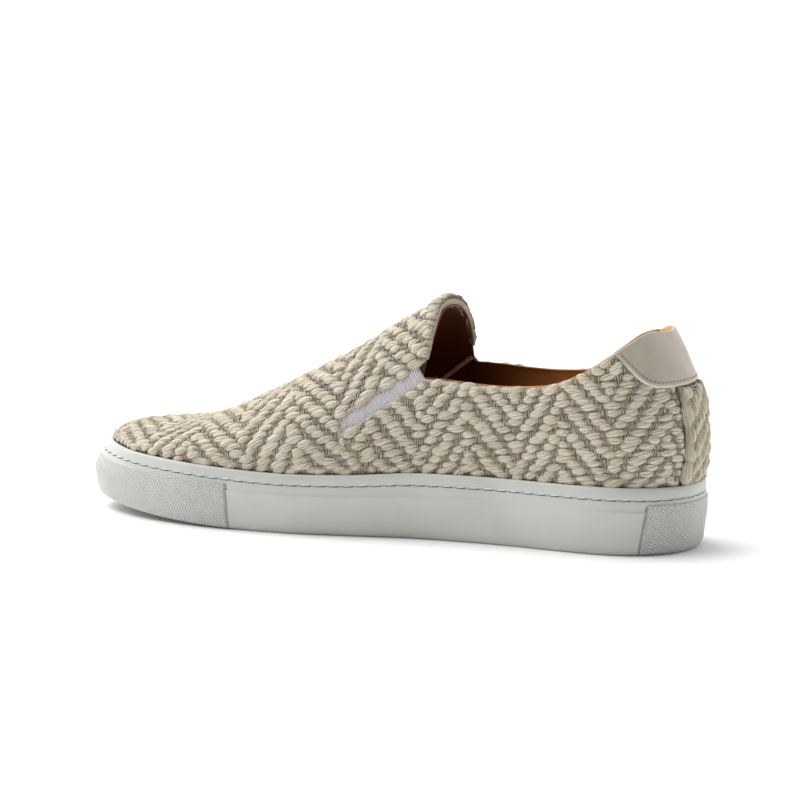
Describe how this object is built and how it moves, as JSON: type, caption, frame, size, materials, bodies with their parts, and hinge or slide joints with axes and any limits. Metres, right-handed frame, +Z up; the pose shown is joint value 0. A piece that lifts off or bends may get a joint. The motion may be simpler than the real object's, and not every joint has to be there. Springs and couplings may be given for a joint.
{
  "type": "slip-on shoe",
  "caption": "Right slip-on shoe: woven cloth upper open at the collar, elastic side gores and a leather heel tab, on a stitched rubber cup sole.",
  "frame": {"origin": "on the floor under the middle of the shoe's bounding box", "axes": "+X to the toe, +Y to the medial side, +Z up from the floor"},
  "size_m": [0.2894, 0.0986, 0.1052],
  "materials": {
    "sole_rubber": "off-white moulded rubber, satin",
    "woven_cloth": "coarse herringbone weave of cream slub cotton over thin grey-beige warps",
    "insole_leather": "tan lining leather, smooth",
    "gore_elastic": "pale grey ribbed elastic webbing",
    "tab_leather": "light taupe leather, fine grain"
  },
  "bodies": {
    "root": {"cup_sole": "sole_rubber", "upper": "woven_cloth", "insole": "insole_leather", "gore_medial": "gore_elastic", "gore_lateral": "gore_elastic", "heel_tab": "tab_leather", "heel_strip": "woven_cloth"}
  },
  "joints": []
}
